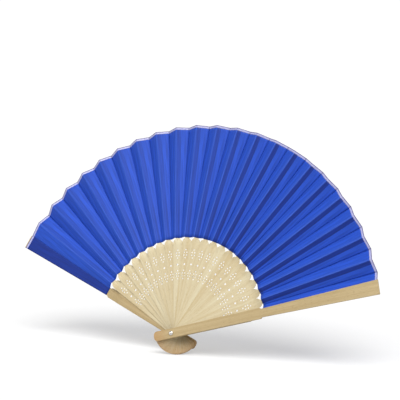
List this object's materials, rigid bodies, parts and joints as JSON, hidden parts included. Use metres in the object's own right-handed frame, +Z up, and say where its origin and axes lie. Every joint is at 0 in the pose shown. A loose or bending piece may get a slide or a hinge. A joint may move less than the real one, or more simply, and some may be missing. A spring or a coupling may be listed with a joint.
{
  "type": "folding hand fan",
  "caption": "Open folding hand fan: perforated bamboo ribs between two guards on one rivet, carrying a pleated royal blue cloth leaf that opens and folds shut.",
  "frame": {"origin": "on the rivet's axis, in the plane of the front guard's inner face", "axes": "+X to the right across the open fan, +Z up, -Y towards the viewer; the fan's plane leans back 18 degrees from the vertical about X"},
  "size_m": [0.401, 0.0834, 0.2176],
  "materials": {
    "rib_bamboo": "pale bamboo, lightly polished",
    "guard_bamboo": "bamboo, lightly polished",
    "leaf_cloth": "thin woven cloth, royal blue, pleated",
    "rivet_metal": "bright domed rivet"
  },
  "bodies": {
    "front_guard": {"front_guard": "guard_bamboo", "rivet": "rivet_metal", "rivet_burr": "rivet_metal", "leaf_panel_00": "leaf_cloth"},
    "rib_01": {"rib_01": "rib_bamboo", "leaf_fold_01": "leaf_cloth"},
    "rib_02": {"rib_02": "rib_bamboo", "leaf_panel_02": "leaf_cloth"},
    "rib_03": {"rib_03": "rib_bamboo", "leaf_fold_03": "leaf_cloth"},
    "rib_04": {"rib_04": "rib_bamboo", "leaf_panel_04": "leaf_cloth"},
    "rib_05": {"rib_05": "rib_bamboo", "leaf_fold_05": "leaf_cloth"},
    "rib_06": {"rib_06": "rib_bamboo", "leaf_panel_06": "leaf_cloth"},
    "rib_07": {"rib_07": "rib_bamboo", "leaf_fold_07": "leaf_cloth"},
    "rib_08": {"rib_08": "rib_bamboo", "leaf_panel_08": "leaf_cloth"},
    "rib_09": {"rib_09": "rib_bamboo", "leaf_fold_09": "leaf_cloth"},
    "rib_10": {"rib_10": "rib_bamboo", "leaf_panel_10": "leaf_cloth"},
    "rib_11": {"rib_11": "rib_bamboo", "leaf_fold_11": "leaf_cloth"},
    "rib_12": {"rib_12": "rib_bamboo", "leaf_panel_12": "leaf_cloth"},
    "rib_13": {"rib_13": "rib_bamboo", "leaf_fold_13": "leaf_cloth"},
    "rib_14": {"rib_14": "rib_bamboo", "leaf_panel_14": "leaf_cloth"},
    "rib_15": {"rib_15": "rib_bamboo", "leaf_fold_15": "leaf_cloth"},
    "rib_16": {"rib_16": "rib_bamboo", "leaf_panel_16": "leaf_cloth"},
    "rib_17": {"rib_17": "rib_bamboo", "leaf_fold_17": "leaf_cloth"},
    "rib_18": {"rib_18": "rib_bamboo", "leaf_panel_18": "leaf_cloth"},
    "rib_19": {"rib_19": "rib_bamboo", "leaf_fold_19": "leaf_cloth"},
    "rib_20": {"rib_20": "rib_bamboo", "leaf_panel_20": "leaf_cloth"},
    "rib_21": {"rib_21": "rib_bamboo", "leaf_fold_21": "leaf_cloth"},
    "rear_guard": {"rear_guard": "guard_bamboo", "leaf_panel_22": "leaf_cloth"}
  },
  "joints": [
    {"name": "open_01", "type": "hinge", "parent": "front_guard", "child": "rib_01", "pos_m": [0, 0, 0], "axis": [0, -0.9511, 0.309], "range_deg": [-6.34, 0.48], "deforming": ["leaf_fold_01"]},
    {"name": "open_02", "type": "hinge", "parent": "rib_01", "child": "rib_02", "pos_m": [0, 0, 0], "axis": [0, -0.9511, 0.309], "range_deg": [-6.34, 0.48]},
    {"name": "open_03", "type": "hinge", "parent": "rib_02", "child": "rib_03", "pos_m": [0, 0, 0], "axis": [0, -0.9511, 0.309], "range_deg": [-6.34, 0.48], "deforming": ["leaf_fold_03"]},
    {"name": "open_04", "type": "hinge", "parent": "rib_03", "child": "rib_04", "pos_m": [0, 0, 0], "axis": [0, -0.9511, 0.309], "range_deg": [-6.34, 0.48]},
    {"name": "open_05", "type": "hinge", "parent": "rib_04", "child": "rib_05", "pos_m": [0, 0, 0], "axis": [0, -0.9511, 0.309], "range_deg": [-6.34, 0.48], "deforming": ["leaf_fold_05"]},
    {"name": "open_06", "type": "hinge", "parent": "rib_05", "child": "rib_06", "pos_m": [0, 0, 0], "axis": [0, -0.9511, 0.309], "range_deg": [-6.34, 0.48]},
    {"name": "open_07", "type": "hinge", "parent": "rib_06", "child": "rib_07", "pos_m": [0, 0, 0], "axis": [0, -0.9511, 0.309], "range_deg": [-6.34, 0.48], "deforming": ["leaf_fold_07"]},
    {"name": "open_08", "type": "hinge", "parent": "rib_07", "child": "rib_08", "pos_m": [0, 0, 0], "axis": [0, -0.9511, 0.309], "range_deg": [-6.34, 0.48]},
    {"name": "open_09", "type": "hinge", "parent": "rib_08", "child": "rib_09", "pos_m": [0, 0, 0], "axis": [0, -0.9511, 0.309], "range_deg": [-6.34, 0.48], "deforming": ["leaf_fold_09"]},
    {"name": "open_10", "type": "hinge", "parent": "rib_09", "child": "rib_10", "pos_m": [0, 0, 0], "axis": [0, -0.9511, 0.309], "range_deg": [-6.34, 0.48]},
    {"name": "open_11", "type": "hinge", "parent": "rib_10", "child": "rib_11", "pos_m": [0, 0, 0], "axis": [0, -0.9511, 0.309], "range_deg": [-6.34, 0.48], "deforming": ["leaf_fold_11"]},
    {"name": "open_12", "type": "hinge", "parent": "rib_11", "child": "rib_12", "pos_m": [0, 0, 0], "axis": [0, -0.9511, 0.309], "range_deg": [-6.34, 0.48]},
    {"name": "open_13", "type": "hinge", "parent": "rib_12", "child": "rib_13", "pos_m": [0, 0, 0], "axis": [0, -0.9511, 0.309], "range_deg": [-6.34, 0.48], "deforming": ["leaf_fold_13"]},
    {"name": "open_14", "type": "hinge", "parent": "rib_13", "child": "rib_14", "pos_m": [0, 0, 0], "axis": [0, -0.9511, 0.309], "range_deg": [-6.34, 0.48]},
    {"name": "open_15", "type": "hinge", "parent": "rib_14", "child": "rib_15", "pos_m": [0, 0, 0], "axis": [0, -0.9511, 0.309], "range_deg": [-6.34, 0.48], "deforming": ["leaf_fold_15"]},
    {"name": "open_16", "type": "hinge", "parent": "rib_15", "child": "rib_16", "pos_m": [0, 0, 0], "axis": [0, -0.9511, 0.309], "range_deg": [-6.34, 0.48]},
    {"name": "open_17", "type": "hinge", "parent": "rib_16", "child": "rib_17", "pos_m": [0, 0, 0], "axis": [0, -0.9511, 0.309], "range_deg": [-6.34, 0.48], "deforming": ["leaf_fold_17"]},
    {"name": "open_18", "type": "hinge", "parent": "rib_17", "child": "rib_18", "pos_m": [0, 0, 0], "axis": [0, -0.9511, 0.309], "range_deg": [-6.34, 0.48]},
    {"name": "open_19", "type": "hinge", "parent": "rib_18", "child": "rib_19", "pos_m": [0, 0, 0], "axis": [0, -0.9511, 0.309], "range_deg": [-6.34, 0.48], "deforming": ["leaf_fold_19"]},
    {"name": "open_20", "type": "hinge", "parent": "rib_19", "child": "rib_20", "pos_m": [0, 0, 0], "axis": [0, -0.9511, 0.309], "range_deg": [-6.34, 0.48]},
    {"name": "open_21", "type": "hinge", "parent": "rib_20", "child": "rib_21", "pos_m": [0, 0, 0], "axis": [0, -0.9511, 0.309], "range_deg": [-6.34, 0.48], "deforming": ["leaf_fold_21"]},
    {"name": "open_22", "type": "hinge", "parent": "rib_21", "child": "rear_guard", "pos_m": [0, 0, 0], "axis": [0, -0.9511, 0.309], "range_deg": [-5.14, 0.39]}
  ],
  "couplings": [
    {"joint": "open_02", "follows": "open_01", "ratio": 1},
    {"joint": "open_03", "follows": "open_01", "ratio": 1},
    {"joint": "open_04", "follows": "open_01", "ratio": 1},
    {"joint": "open_05", "follows": "open_01", "ratio": 1},
    {"joint": "open_06", "follows": "open_01", "ratio": 1},
    {"joint": "open_07", "follows": "open_01", "ratio": 1},
    {"joint": "open_08", "follows": "open_01", "ratio": 1},
    {"joint": "open_09", "follows": "open_01", "ratio": 1},
    {"joint": "open_10", "follows": "open_01", "ratio": 1},
    {"joint": "open_11", "follows": "open_01", "ratio": 1},
    {"joint": "open_12", "follows": "open_01", "ratio": 1},
    {"joint": "open_13", "follows": "open_01", "ratio": 1},
    {"joint": "open_14", "follows": "open_01", "ratio": 1},
    {"joint": "open_15", "follows": "open_01", "ratio": 1},
    {"joint": "open_16", "follows": "open_01", "ratio": 1},
    {"joint": "open_17", "follows": "open_01", "ratio": 1},
    {"joint": "open_18", "follows": "open_01", "ratio": 1},
    {"joint": "open_19", "follows": "open_01", "ratio": 1},
    {"joint": "open_20", "follows": "open_01", "ratio": 1},
    {"joint": "open_21", "follows": "open_01", "ratio": 1},
    {"joint": "open_22", "follows": "open_01", "ratio": 0.8107}
  ]
}
